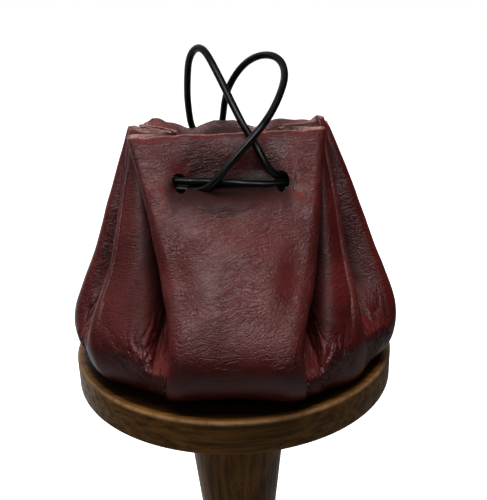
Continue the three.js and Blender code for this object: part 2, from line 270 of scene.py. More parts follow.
# Painted shadow on the wood's upper faces
WOOD_PAINTED_SHADOW = (0.010, 0.0045, 0.0018)
WOOD_FACE = (0.150, 0.062, 0.018)
WOOD_EDGE = (0.34, 0.20, 0.095)

# The drawstring's four stretches, in millimetres, with heights from the pouch's base
RIGHT_LOOP = (
    (-17.4, -0.15, 51.1), (-17.4, -6, 51.1), (-17.3, -11.2, 51.1), (-16, -15, 51.1),
    (-12.6, -16.6, 51.1), (-9.4, -17.2, 50.9), (-6.6, -18.4, 51.3), (-4, -19.3, 53.2),
    (-0.6, -19.4, 57), (3.8, -18.6, 61.6), (7.8, -17.2, 65.9), (10.6, -15, 69),
    (13.1, -12, 72.7), (14.9, -8.5, 76.3), (15.6, -5, 79.3), (14.5, -1.8, 82.3),
    (11.1, 1.5, 83.4), (7.4, 4.5, 82.3), (4.2, 7.4, 79.6), (1.1, 10, 74.9),
    (-0.6, 12.8, 69.8), (-1.5, 14.9, 64), (-3.4, 16.6, 58.6), (-6, 17.3, 55.2),
    (-9.2, 17.2, 53.8), (-12.6, 16.6, 53.3), (-16, 15, 53.3), (-17.3, 11.2, 53.3),
    (-17.4, 6, 53.3), (-17.4, 0.15, 53.3),
)
LEFT_LOOP = (
    (17.4, 0.15, 51.7), (17.4, 6, 51.7), (17.3, 11.2, 51.7), (16, 15, 51.7),
    (12.6, 16.6, 51.7), (8.5, 17.7, 51.3), (4.5, 19, 51.9), (0, 19.9, 53.6),
    (-4.5, 19.9, 56.2), (-8.6, 17, 59.2), (-10.6, 14.4, 62.2), (-11.2, 13, 66),
    (-11.4, 10.8, 72.3), (-11, 8.2, 77), (-10.4, 5.5, 81.1), (-9.4, 3, 83.9),
    (-7.1, 0, 85.9), (-4.5, -3.5, 83.6), (-2.8, -5.8, 80.6), (-0.8, -8.2, 76.7),
    (1.1, -10.5, 72.8), (3.1, -12.6, 68.8), (4.8, -13.9, 65.6), (7.4, -15.3, 61.5),
    (9.2, -16.8, 58), (10.9, -17.2, 55.6), (13, -16.5, 54.2), (15.4, -14.7, 53.8),
    (17, -11.4, 53.8), (17.4, -7, 53.9), (17.4, -0.15, 53.9),
)
FRONT_SPAN = (
    (-17.4, -0.15, 53.3), (-17.4, -6, 53.3), (-17.3, -11.2, 53.3), (-16, -15, 53.3),
    (-12.6, -16.6, 53.3), (0, -16.7, 52.5), (12.6, -16.6, 51.7), (16, -15, 51.7),
    (17.3, -11.2, 51.7), (17.4, -6, 51.7), (17.4, -0.15, 51.7),
)
BACK_SPAN = (
    (17.4, 0.15, 53.9), (17.4, 6, 53.9), (17.3, 11.2, 53.9), (16, 15, 53.9),
    (12.6, 16.6, 53.9), (0, 16.7, 52.5), (-12.6, 16.6, 51.1), (-16, 15, 51.1),
    (-17.3, 11.2, 51.1), (-17.4, 6, 51.1), (-17.4, 0.15, 51.1),
)


def smooth(t):
    """Smoothstep: 0 below 0, 1 above 1 and 3t^2 - 2t^3 between."""
    c = np.clip(t, 0.0, 1.0)
    return c * c * (3.0 - 2.0 * c)


def bell(t):
    """Bell curve exp(-t^2)."""
    return np.exp(-t * t)


def lattice_noise(points, seed):
    """Smooth noise between -1 and 1: random values at whole-number points of space, blended by
    smoothstep between the eight round each point."""
    table = np.random.default_rng(seed).uniform(-1.0, 1.0, NOISE_VALUES)
    cell = np.floor(points).astype(np.int64)
    blend = smooth(points - cell)
    noise = np.zeros(points.shape[:-1])
    for corner in range(8):
        bits = np.array([(corner >> axis) & 1 for axis in range(3)])
        key = (cell + bits) @ np.array(NOISE_STRIDES)
        weight = np.prod(np.where(bits == 1, blend, 1.0 - blend), axis=-1)
        noise += weight * table[key % table.size]
    return noise


def put_mesh(name, vertices, polygons, materials, slots=None, sharp_deg=None, marks=None):
    """A mesh object at the origin from vertices in millimetres. polygons is a list of arrays of
    vertex numbers, one array for each count of corners, slots the material of each polygon, and marks
    named triples for each vertex that its materials read."""
    mesh = bpy.data.meshes.new(name)
    loops = np.concatenate([block.ravel() for block in polygons])
    counts = np.concatenate([np.full(len(block), block.shape[1]) for block in polygons])
    starts = np.concatenate([[0], np.cumsum(counts)[:-1]])
    mesh.vertices.add(len(vertices))
    mesh.vertices.foreach_set("co", (np.asarray(vertices) * MM).astype(np.float32).ravel())
    mesh.loops.add(len(loops))
    mesh.loops.foreach_set("vertex_index", loops.astype(np.int32))
    mesh.polygons.add(len(counts))
    mesh.polygons.foreach_set("loop_start", starts.astype(np.int32))
    for material in materials:
        mesh.materials.append(material)
    if slots is not None:
        mesh.polygons.foreach_set("material_index", np.asarray(slots, dtype=np.int32))
    mesh.update(calc_edges=True)
    mesh.validate()
    mesh.polygons.foreach_set("use_smooth", np.ones(len(mesh.polygons), dtype=bool))
    if sharp_deg is not None:
        mesh.set_sharp_from_angle(angle=math.radians(sharp_deg))
    for mark, triples in (marks or {}).items():
        layer = mesh.attributes.new(mark, "FLOAT_VECTOR", "POINT")
        layer.data.foreach_set("vector", triples.astype(np.float32).ravel())
    piece = bpy.data.objects.new(name, mesh)
    bpy.context.scene.collection.objects.link(piece)
    return piece


def photo_camera():
    """The camera at the photograph's viewing angle, from the ellipses of the plate and the middle
    of the stem: in front of it and a little above the pouch, turned by its pitch, yaw and roll."""
    pitch, yaw, roll = (math.radians(a) for a in (CAMERA_PITCH, CAMERA_YAW, CAMERA_ROLL))
    ahead = Vector((math.sin(yaw) * math.cos(pitch), math.cos(yaw) * math.cos(pitch), -math.sin(pitch)))
    level = Vector((math.cos(yaw), -math.sin(yaw), 0.0))
    upright = level.cross(ahead)
    right = math.cos(roll) * level + math.sin(roll) * upright
    up = math.cos(roll) * upright - math.sin(roll) * level
    lens = bpy.data.cameras.new("camera")
    lens.sensor_width = 36.0
    lens.lens = FOCAL_PIXELS / FRAME_PIXELS * lens.sensor_width
    lens.clip_start = 0.01
    lens.clip_end = 50.0
    camera = bpy.data.objects.new("camera", lens)
    bpy.context.scene.collection.objects.link(camera)
    turn = Matrix((right, up, -ahead)).transposed().to_4x4()
    place = (0.0, -CAMERA_BACK, STAND_HEIGHT * MM + CAMERA_ABOVE_PLATE)
    camera.matrix_world = Matrix.Translation(place) @ turn
    bpy.context.scene.camera = camera


def spline_through(route, spacing, fine_steps=1500):
    """Points at an even spacing on a cubic spline through a route, by chord length, with free ends:
    the second derivatives come from the usual set of equations that makes the slopes meet."""
    p = np.array(route, dtype=float)
    knots = np.concatenate([[0.0], np.cumsum(np.linalg.norm(np.diff(p, axis=0), axis=1))])
    h = np.diff(knots)
    system = np.eye(len(p))
    right = np.zeros_like(p)
    inner = np.arange(1, len(p) - 1)
    system[inner, inner - 1] = h[:-1]
    system[inner, inner] = 2.0 * (h[:-1] + h[1:])
    system[inner, inner + 1] = h[1:]
    right[1:-1] = 6.0 * np.diff(np.diff(p, axis=0) / h[:, None], axis=0)
    second = np.linalg.solve(system, right)

    def at(s):
        """The spline at the lengths s: a cubic from each stretch's ends and their second derivatives."""
        k = np.clip(np.searchsorted(knots, s, side="right") - 1, 0, len(h) - 1)
        a = (knots[k + 1] - s)[:, None]
        b = (s - knots[k])[:, None]
        span = h[k][:, None]
        return ((second[k] * a ** 3 + second[k + 1] * b ** 3) / (6.0 * span)
                + (p[k] / span - second[k] * span / 6.0) * a
                + (p[k + 1] / span - second[k + 1] * span / 6.0) * b)

    fine = np.linspace(0.0, knots[-1], fine_steps)
    along = np.concatenate([[0.0], np.cumsum(np.linalg.norm(np.diff(at(fine), axis=0), axis=1))])
    count = int(round(along[-1] / spacing)) + 1
    return at(np.interp(np.linspace(0.0, along[-1], count), along, fine))


def eased(points, slack, held, hold=1e4):
    """A path with its small wobbles taken out: the points that are nearest to the given ones while
    their second differences, weighted by slack, stay small. The first and last ones keep their place."""
    count = len(points)
    bend = np.diff(np.eye(count), n=2, axis=0)
    grip = np.ones(count)
    grip[:held] = grip[-held:] = hold
    return np.linalg.solve(np.diag(grip) + slack * bend.T @ bend, grip[:, None] * points)


def cord_piece(name, route, material, sides=14):
    """A round cord: a circle carried along its path, turned from one step to the next by no more
    than the path turns. Its UV map runs along the cord and once round it."""
    path = eased(spline_through(route, CORD_STEP), CORD_SLACK, CORD_HELD_STEPS)
    path = path + np.array([0.0, 0.0, POUCH_LEVEL])
    ahead = np.gradient(path, axis=0)
    ahead /= np.linalg.norm(ahead, axis=1)[:, None]
    across = np.zeros_like(ahead)
    side = np.cross(ahead[0], (0.0, 0.0, 1.0))
    for k, direction in enumerate(ahead):
        side = side - direction * (side @ direction)
        side = side / np.linalg.norm(side)
        across[k] = side
    other = np.cross(ahead, across)
    angle = np.linspace(0.0, 2.0 * math.pi, sides, endpoint=False)
    spread = np.cos(angle)[None, :, None] * across[:, None] + np.sin(angle)[None, :, None] * other[:, None]
    tube = (path[:, None] + spread * (CORD_DIAMETER / 2.0)).reshape(-1, 3)
    rows, columns = np.meshgrid(np.arange(len(path) - 1), np.arange(sides), indexing="ij")
    here = rows * sides + columns
    beside = rows * sides + (columns + 1) % sides
    quads = np.stack([here, beside, beside + sides, here + sides], axis=-1).reshape(-1, 4)
    ring = np.arange(sides)
    last = (len(path) - 1) * sides
    start_cap = np.stack([np.full(sides, len(tube)), np.roll(ring, -1), ring], axis=-1)
    end_cap = np.stack([np.full(sides, len(tube) + 1), last + ring, last + np.roll(ring, -1)], axis=-1)
    vertices = np.concatenate([tube, path[:1], path[-1:]])
    piece = put_mesh(name, vertices, [quads, start_cap, end_cap], [material])
    uv = piece.data.uv_layers.new(name="along_and_round")
    length = np.linalg.norm(np.diff(path, axis=0), axis=1).sum()
    v0 = rows.ravel()
    u0 = columns.ravel()
    corners = np.stack([
        np.stack([v0, u0], -1), np.stack([v0, u0 + 1], -1),
        np.stack([v0 + 1, u0 + 1], -1), np.stack([v0 + 1, u0], -1)], axis=1).reshape(-1, 2)
    share = corners / np.array([len(path) - 1, sides]) * np.array([length * MM, 1.0])
    caps = np.zeros((6 * sides, 2))
    uv.data.foreach_set("uv", np.concatenate([share, caps]).astype(np.float32).ravel())
    return piece, path * MM, length * MM


def turned_piece(name, profile, material, segments=176):
    """A turned piece: a profile of radius and height pairs, from the axis at the bottom to the axis
    at the top, carried round the Z axis."""
    radius, height = np.array(profile[1:-1]).T
    angle = np.linspace(0.0, 2.0 * math.pi, segments, endpoint=False)
    wall = np.stack([
        radius[:, None] * np.cos(angle), radius[:, None] * np.sin(angle),
        np.repeat(height[:, None], segments, axis=1)], axis=-1).reshape(-1, 3)
    rows, columns = np.meshgrid(np.arange(len(radius) - 1), np.arange(segments), indexing="ij")
    here = rows * segments + columns
    beside = rows * segments + (columns + 1) % segments
    quads = np.stack([here, beside, beside + segments, here + segments], axis=-1).reshape(-1, 4)
    ring = np.arange(segments)
    top = (len(radius) - 1) * segments
    under = np.stack([np.full(segments, len(wall)), np.roll(ring, -1), ring], axis=-1)
    over = np.stack([np.full(segments, len(wall) + 1), top + ring, top + np.roll(ring, -1)], axis=-1)
    poles = np.array([[0.0, 0.0, profile[0][1]], [0.0, 0.0, profile[-1][1]]])
    vertices = np.concatenate([wall, poles])
    return put_mesh(name, vertices, [quads, under, over], [material], sharp_deg=WOOD_SHARP_DEG)


def disc_profile(radius, bottom, top, lower_round, upper_round, round_steps=9, flat_steps=6):
    """A disc's profile with quarter-round edges, and rings on its flat faces."""
    turn = np.linspace(0.0, math.pi / 2.0, round_steps)
    flat = np.linspace(0.1, 0.93, flat_steps) * radius
    lower = [(radius - lower_round * (1.0 - math.sin(a)), bottom + lower_round * (1.0 - math.cos(a)))
             for a in turn]
    upper = [(radius - upper_round * (1.0 - math.cos(a)), top - upper_round * (1.0 - math.sin(a)))
             for a in turn]
    return ([(0.0, bottom)] + [(r, bottom) for r in flat] + lower + upper
            + [(r, top) for r in flat[::-1]] + [(0.0, top)])


def stem_profile(steps=70):
    """The stem's profile: a straight taper from the plate to its waist and a smooth swell to the foot."""
    bottom = FOOT_THICKNESS + GAP
    top = STAND_HEIGHT - PLATE_THICKNESS - GAP
    z = np.linspace(bottom, top, steps)
    taper = np.maximum(0.0, (z - STEM_WAIST_HEIGHT) / (top - STEM_WAIST_HEIGHT))
    swell = 1.0 - smooth((z - bottom) / (STEM_WAIST_HEIGHT - bottom))
    radius = (STEM_WAIST_RADIUS + (STEM_TOP_RADIUS - STEM_WAIST_RADIUS) * taper
              + (STEM_FOOT_RADIUS - STEM_WAIST_RADIUS) * swell)
    return [(0.0, bottom)] + list(zip(radius, z)) + [(0.0, top)]


def through_levels(belly, waist, rim, u, lean=0.0):
    """Value at share u of the wall's height, on a cubic through the belly, waist and rim that never
    overshoots. It leaves the belly upright where lean is 0 and straight for the waist where it is 1."""
    lower, upper = WAIST_SHARE, 1.0 - WAIST_SHARE
    below = (waist - belly) / lower
    above = (rim - waist) / upper
    turns = below * above <= 0.0
    slope = np.where(turns, 0.0, 3.0 / ((1.0 + upper) / np.where(turns, 1.0, below)
                                        + (1.0 + lower) / np.where(turns, 1.0, above)))

    def piece(a, b, slope_a, slope_b, span, t):
        """The cubic from a to b with the given slopes at its ends, at share t of its span."""
        return (a * (1.0 + 2.0 * t) * (1.0 - t) ** 2 + b * t * t * (3.0 - 2.0 * t)
                + span * (slope_a * t * (1.0 - t) ** 2 - slope_b * t * t * (1.0 - t)))

    return np.where(u < lower, piece(belly, waist, lean * below, slope, lower, u / lower),
                    piece(waist, rim, slope, above, upper, (u - lower) / upper))


def fold_noses(u):
    """Each fold's rounded nose at the shares u: its flat front lies across the fold's heading, which
    turns from outward at the belly to sideways at the rim, and each end of it is rounded into the leg
    that follows. Below the rim the noses are crisper than the solid's, and a panel keeps its place.
    Returns the points start, first, rounded first, rounded last, last and end."""
    u = np.asarray(u)[..., None]
    height = BELLY_HEIGHT + u * (RIM_HEIGHT - BELLY_HEIGHT)
    lean = IS_TUCK.astype(float)
    in_the_way = IS_TUCK & (np.abs(RIM_X) < RUN_OFFSET)
    push = in_the_way * np.sign(RIM_X) * TUCK_PUSH * bell((height - CORD_LEVEL) / TUCK_PUSH_SPREAD)
    x = through_levels(BELLY_X, WAIST_X, RIM_X, u, lean) + push
    y = through_levels(BELLY_Y, WAIST_Y, LAYER * LAYER_PITCH, u, lean)
    breadth = through_levels(BELLY_BREADTH_SHARE * BREADTH, BREADTH, LAYER_PITCH, u)
    radial = np.arctan2(BELLY_Y, BELLY_X)
    sideways = np.where(BELLY_X < 0.0, np.where(BELLY_Y < 0.0, -math.pi, math.pi), 0.0)
    heading = radial + (sideways - radial) * smooth(u)
    along = np.stack([np.sin(heading), -np.cos(heading)], axis=-1)
    centre = np.stack([x, y], axis=-1)
    half = breadth[..., None] / 2.0
    rounder = smooth((u - CRISP_UNTIL) / (1.0 - CRISP_UNTIL))
    crisp = 1.0 - (1.0 - CRISP_NOSE) * smooth(u / CRISP_BY) * (1.0 - rounder)
    far_side = 2.0 * crisp - 1.0
    share_first = np.where(PANEL_BEFORE, 1.0, np.where(PANEL_AFTER, far_side, crisp))
    share_last = np.where(PANEL_AFTER, 1.0, np.where(PANEL_BEFORE, far_side, crisp))
    first = centre - along * half * share_first[..., None]
    last = centre + along * half * share_last[..., None]
    half = half * crisp[..., None]
    leg_in = first - np.roll(last, 1, axis=-2)
    leg_out = np.roll(first, -1, axis=-2) - last
    length_in = np.linalg.norm(leg_in, axis=-1, keepdims=True)
    length_out = np.linalg.norm(leg_out, axis=-1, keepdims=True)
    reach = np.minimum(half, NOSE_REACH * np.minimum(length_in, length_out))
    return (first - reach * leg_in / length_in, first, first + reach * along,
            last - reach * along, last, last + reach * leg_out / length_out)


def rim_dip(x):
    """Dips of the back rim where the loops of the drawstring lie over it, and a small rise at its left
    end: a sum of bell curves, each with its x, depth and spread."""
    return sum(depth * bell((x - at) / spread) for at, depth, spread in RIM_DIPS)


def dent(x, height):
    """How far the drawn cord presses a panel in: flat across the middle, bell-shaped up and down."""
    across = smooth((DENT_EDGE - np.abs(x)) / (DENT_EDGE - DENT_FLAT))
    off = height - DENT_HEIGHT
    return DENT_DEPTH * across * bell(off / np.where(off < 0.0, DENT_BELOW, DENT_ABOVE))


def panel_surface(fold, t, u):
    """A panel's middle surface between two outer folds at the shares t across and u up: straight
    between the folds, bowed by a parabola, puffed out at mid height by a bell curve that ends near the
    folds, and pressed in by the cord. The back one flares towards its rim and curls out at it."""
    following = (fold + 1) % len(FOLDS)
    noses = fold_noses(u)
    ends, starts = noses[5][..., fold, :], noses[0][..., following, :]
    flat = ends + (starts - ends) * t[..., None]
    face = math.copysign(1.0, BELLY_Y[fold])
    top = RIM_HEIGHT + LIFT[fold] + (LIFT[following] - LIFT[fold]) * t
    if face > 0.0:
        top = top - rim_dip(flat[..., 0])
    height = BELLY_HEIGHT + u * (top - BELLY_HEIGHT)
    bow = through_levels(*(np.float64(b) for b in PANEL_BOW), u)
    out = face * (bow * 4.0 * t * (1.0 - t) - dent(flat[..., 0], height))
    puff = MID_BULGE * bell((height - MID_BULGE_HEIGHT) / MID_BULGE_SPREAD)
    out = out + face * puff * smooth(4.0 * t) * smooth(4.0 - 4.0 * t)
    if face > 0.0:
        out = out + BACK_FLARE * smooth((height - BACK_FLARE_FROM) / (RIM_HEIGHT - BACK_FLARE_FROM))
        out = out + BACK_CURL * np.maximum(1.0 - (top - height) / BACK_CURL_HEIGHT, 0.0) ** 2
    return np.stack([flat[..., 0], flat[..., 1] + out, height], axis=-1)


def column_plan():
    """The columns round the pouch: for each fold its rounded start, its front, its rounded end and
    the leg or panel that follows, each column with its fold, its kind and its share of that stretch."""
    fold, kind, share = [], [], []
    for i, name in enumerate(FOLD_NAMES):
        if PANEL_AFTER[i]:
            gap = FRONT_STEPS if BELLY_Y[i] < 0.0 else BACK_STEPS
        else:
            gap = TURN_STEPS if name in PLEAT_TURNS else LEG_STEPS
        for number, steps in enumerate((NOSE_STEPS, NOSE_FRONT_STEPS, NOSE_STEPS, gap)):
            fold += [i] * steps
            kind += [number] * steps
            share += [k / steps for k in range(steps)]
    return np.array(fold), np.array(kind), np.array(share)


def on_leg(fold, kind, name):
    """Which columns lie on the leg that starts at a named fold."""
    return (fold == FOLD_NAMES.index(name)) & (kind == LEG)


def wall_rings(u, fold, kind, share):
    """The folded wall's middle surface: one ring of points for each share u of its height. A nose's
    ends are quadratic curves, its front is straight, and the legs are slightly bowed or straight. The two
    legs with a sharp turn are cubic curves that are drawn towards it. Each column rises evenly from the
    belly's level to the rim's, which change evenly along a leg."""
    start, first, near, far, last, end = fold_noses(u)
    following = (fold + 1) % len(FOLDS)
    w = share[None, :, None]

    def curve(a, b, c):
        """The quadratic curve from a to c that is drawn towards b."""
        return (1.0 - w) ** 2 * a[:, fold] + 2.0 * w * (1.0 - w) * b[:, fold] + w * w * c[:, fold]

    def straight(a, b):
        """The straight line from a to b."""
        return a + (b - a) * w

    run = start[:, following] - end[:, fold]
    aside = np.stack([run[..., 1], -run[..., 0]], axis=-1)
    aside = aside / np.linalg.norm(aside, axis=-1, keepdims=True)
    bowed = ~np.isin(fold, [FOLD_NAMES.index(name) for name in STRAIGHT_LEGS])
    fullness = LEG_BOW * bowed * 4.0 * share * (1.0 - share) * (16.0 * u * u * (1.0 - u) ** 2)[:, None]
    flat = np.choose(kind[None, :, None], [
        curve(start, first, near), straight(near[:, fold], far[:, fold]), curve(far, last, end),
        straight(end[:, fold], start[:, following]) - aside * fullness[..., None]])
    for name, turn in PLEAT_TURNS.items():
        leg = on_leg(fold, kind, name)
        t = share[None, leg, None]
        (belly_x, belly_y), (waist_x, waist_y), (rim_x, rim_y) = np.array(turn)
        tip = np.stack([through_levels(belly_x, waist_x, rim_x, u),
                        through_levels(belly_y, waist_y, rim_y, u)], axis=-1)[:, None]
        flat[:, leg] = ((1.0 - t) ** 3 * end[:, fold[leg]] + t ** 3 * start[:, following[leg]]
                        + (1.0 - (1.0 - t) ** 3 - t ** 3) * tip)
    along = np.where(kind == LEG, share, 0.0)
    tops = RIM_HEIGHT + LIFT
    top = tops[fold] + (tops[following] - tops[fold]) * along
    low = BELLY_LEVEL[fold] + (BELLY_LEVEL[following] - BELLY_LEVEL[fold]) * along
    height = low + u[:, None] * (top - low)
    return np.concatenate([flat, height[..., None]], axis=-1)


def drawn_aside(t, u, middle_row, middle_column, centre_t, centre_u, half_t, half_u):
    """A panel's grid of shares drawn aside round a hole, so that the edge of a block of grid cells
    lies on the hole's oval. The pull fades out over the cells round it."""
    a = (np.arange(t.shape[1])[None, :] - middle_column) / (HOLE_COLUMNS / 2.0)
    b = (np.arange(t.shape[0])[:, None] - middle_row) / (HOLE_ROWS / 2.0)
    square = np.maximum(np.maximum(np.abs(a), np.abs(b)), TINY)
    round_ = np.maximum(np.hypot(a, b), TINY)
    fade = 1.0 - smooth((square - 1.0) / HOLE_PULL_FADE)
    scale = square / round_ * (1.0 + HOLE_PULL_GROWTH * np.maximum(square - 1.0, 0.0))
    oval_t = centre_t + half_t * a * scale
    oval_u = centre_u + half_u * b * scale
    return t + (oval_t - t) * fade, u + (oval_u - u) * fade


def panel_with_holes(fold, shares, u):
    """A panel's middle surface with its grid drawn aside round its two cord holes, and the first row and
    column of each hole's block of cells. Blocks start on even rows and columns."""
    t, up = np.meshgrid(shares, u)
    panel = panel_surface(fold, t, up)
    corners = []
    for side in (-1.0, 1.0):
        level = CORD_LEVEL + side * HOLE_TILT
        row = 2 * int(round(np.argmin(np.abs(panel[:, len(shares) // 2, 2] - level)) / 2.0))
        column = 2 * int(round(np.argmin(np.abs(panel[row, :, 0] - side * HOLE_X)) / 2.0))
        width = abs(panel[row, 1, 0] - panel[row, 0, 0]) / shares[1]
        off_middle = np.abs(panel[row, :, 0])
        order = np.argsort(off_middle)
        at_t = np.interp(HOLE_X, off_middle[order], np.abs(t[row] - 0.5)[order])
        at_t = 0.5 + math.copysign(at_t, t[row, column] - 0.5)
        at_u = np.interp(level, panel[:, column, 2], u)
        t, up = drawn_aside(t, up, row, column, at_t, at_u, HOLE_HALF_WIDTH / width,
                            HOLE_HALF_HEIGHT / (RIM_HEIGHT - BELLY_HEIGHT))
        corners.append((row - HOLE_ROWS // 2, column - HOLE_COLUMNS // 2))
    return panel_surface(fold, t, up), corners


def near_fold(belly, fold, kind, name, spread):
    """How near each column's foot is to that of a named fold: a bell curve of the distance."""
    foot = np.nonzero((fold == FOLD_NAMES.index(name)) & (kind == NOSE_FRONT))[0][0]
    return bell(np.linalg.norm(belly[:, :2] - belly[foot, :2], axis=-1) / spread)


def base_rings(belly, standing):
    """The base's middle surface: rings that shrink evenly from the standing share of the belly's ring
    to the centre, and a quarter round from there up to the belly. The flat is lifted a little under the
    front panel."""
    lift = np.where(belly[:, 1] < 0.0, FRONT_LIFT * bell(belly[:, 0] / FRONT_LIFT_SPREAD), 0.0)
    angle = np.linspace(0.0, math.pi / 2.0, CORNER_ROWS, endpoint=False)
    flat_rows = np.linspace(BASE_CENTRE_SHARE, 1.0, BASE_ROWS, endpoint=False)
    spread = np.concatenate([flat_rows[:, None] * standing,
                             standing + (1.0 - standing) * np.sin(angle)[:, None]])
    climb = np.concatenate([np.zeros(BASE_ROWS), 1.0 - np.cos(angle)])
    raised = np.concatenate([flat_rows ** 2, np.ones(CORNER_ROWS)])
    floor = LEATHER / 2.0 + lift[None] * raised[:, None]
    base = np.empty((BASE_ROWS + CORNER_ROWS,) + belly.shape)
    base[..., :2] = belly[None, :, :2] * spread[..., None]
    base[..., 2] = floor + (belly[None, :, 2] - floor) * climb[:, None]
    return base


def outward(surface):
    """Unit normals of a surface of closed rings: up along a column times on along a ring."""
    rise = np.gradient(surface, axis=0)
    on = np.roll(surface, -1, axis=1) - np.roll(surface, 1, axis=1)
    normal = np.cross(rise, on)
    return normal / np.maximum(np.linalg.norm(normal, axis=-1, keepdims=True), TINY)


def crease_fans(middle, fold, kind):
    """Polar coordinates round the foot of each tuck, on the two legs beside it: the angle from the
    upright, the distance from the foot, and the tuck's number. The weight is 1 where the fan of creases
    is strongest, and fades near the foot, far up the legs and towards the level."""
    fan = np.zeros(middle.shape)
    weight = np.zeros(middle.shape[:2])
    for i in np.nonzero(IS_TUCK)[0]:
        line = np.nonzero((fold == i) & (kind == NOSE_FRONT))[0][0]
        columns = np.nonzero(((fold == i - 1) & (kind == LEG)) | (fold == i))[0]
        aside = np.linalg.norm(middle[:, columns, :2] - middle[:, line, None, :2], axis=-1)
        aside = np.where(columns < line, -aside, aside)
        rise = np.maximum(middle[:, columns, 2] - FAN_FOOT, 0.1)
        angle = np.arctan2(aside, rise)
        distance = np.hypot(aside, rise)
        fan[:, columns] = np.stack([angle, distance, np.full(angle.shape, float(i))], axis=-1)
        weight[:, columns] = (smooth((distance - 0.5) / 4.0)
                              * (1.0 - smooth((distance - FAN_LENGTH) / FAN_FADE))
                              * (1.0 - smooth((np.abs(angle) - FAN_ANGLE) / FAN_ANGLE_FADE)))
    return fan, weight


def ridge_distance(middle, fold, kind):
    """Distance along each ring, in millimetres, from the nearest outward fold."""
    steps = np.linalg.norm(np.roll(middle, -1, axis=1) - middle, axis=-1)
    along = np.cumsum(steps, axis=1) - steps
    round_length = steps.sum(axis=1, keepdims=True)
    nearest = np.full(along.shape, np.inf)
    for i in np.nonzero(~IS_TUCK)[0]:
        nose = np.nonzero((fold == i) & (kind == NOSE_FRONT))[0][1]
        off = np.abs(along - along[:, nose, None])
        nearest = np.minimum(nearest, np.minimum(off, round_length - off))
    return nearest


def leather_relief(points, fan, fan_weight, on_panel):
    """Height of the leather's unevenness along its surface: two sizes of smooth noise, ridges that
    fan out from the tucks' feet, puckers round the cord holes, and on the two panels the puffed and
    wrinkled lip under the cord's span with the curved crease below it."""
    x, height = points[..., 0], points[..., 2]
    relief = (SWELL_DEPTH * lattice_noise(points / SWELL_SIZE, 3)
              + RIPPLE_DEPTH * lattice_noise(points / RIPPLE_SIZE, 4))
    relief *= smooth(height / RELIEF_FROM_BASE)
    spokes = fan * np.array(FAN_SPOKES)
    spokes[..., 0] += FAN_WANDER * lattice_noise(points / FAN_WANDER_SIZE, 9)
    folds = lattice_noise(spokes, 5)
    relief += fan_weight * (FAN_RIDGE * folds - FAN_CREASE * bell(folds / FAN_CREASE_WIDTH))
    off_x = np.abs(x) - HOLE_X
    off_z = height - CORD_LEVEL
    reach = np.hypot(off_x, off_z) + TINY
    ray = np.stack([PUCKER_RAYS * off_x / reach, PUCKER_RAYS * off_z / reach,
                    0.18 * reach + np.sign(x)], axis=-1)
    pucker = PUCKER_DEPTH * bell((reach - PUCKER_REACH) / PUCKER_SPREAD) * lattice_noise(ray, 6)
    off_lip = x - LIP_X
    above_crease = height - (CREASE_HEIGHT + CREASE_CURVE * off_lip ** 2)
    lip = LIP_DEPTH * bell((above_crease - 3.0) / 2.5) * bell(off_lip / LIP_SPREAD)
    wrinkled = points * np.array([0.35, 0.0, 0.85]) + np.array([0.0, 0.0, 0.06]) * x[..., None]
    lip += WRINKLE_DEPTH * bell((above_crease - 2.2) / 2.2) * bell(x / 9.0) * lattice_noise(wrinkled, 10)
    crease = CREASE_DEPTH * bell(above_crease) * bell(off_lip / CREASE_SPREAD)
    return relief + on_panel * (lip - crease + pucker)


def fold_finish_and_painted_light(height, off_ridge, fold, kind, share, on_panel):
    """Where the leather's finish and painted light change, from 0 to 1: paler along the outward folds,
    partly from rubbing and partly as a painted highlight, short creases beside them, and painted shade far
    into the folds away from the panels and at the two sharp turns."""
    # A paler line along the outward folds, partly from rubbing and partly a painted highlight
    worn_and_highlight = bell(off_ridge / WORN_HIGHLIGHT_SPREAD) * smooth((height - 10.0) / 12.0)
    beside = (bell((off_ridge - BESIDE_FOLD) / BESIDE_SPREAD) * smooth((height - 12.0) / 8.0)
              * (1.0 - smooth((height - 56.0) / 7.0)))
    # Painted shade far into the folds, and at the two sharp turns below
    fold_shade = smooth((off_ridge - DEEP_FROM) / DEEP_FADE) * smooth((height - 15.0) / 9.0) * (1.0 - on_panel)
    for name in PLEAT_TURNS:
        leg = on_leg(fold, kind, name)
        at_turn = bell((share[leg] - 0.5) / TURN_SPREAD) * smooth((height[:, leg] - 12.0) / 8.0)
        fold_shade[:, leg] = np.maximum(fold_shade[:, leg], at_turn)
    return worn_and_highlight, beside, fold_shade


def stitch(outer, inner):
    """Triangles between a closed loop and one with half as many points, side by side."""
    o0, o1, o2 = outer[0::2], outer[1::2], np.roll(outer[0::2], -1)
    i0, i1 = inner, np.roll(inner, -1)
    return np.concatenate([np.stack([o0, i0, o1], -1), np.stack([o1, i0, i1], -1),
                           np.stack([o1, i1, o2], -1)])


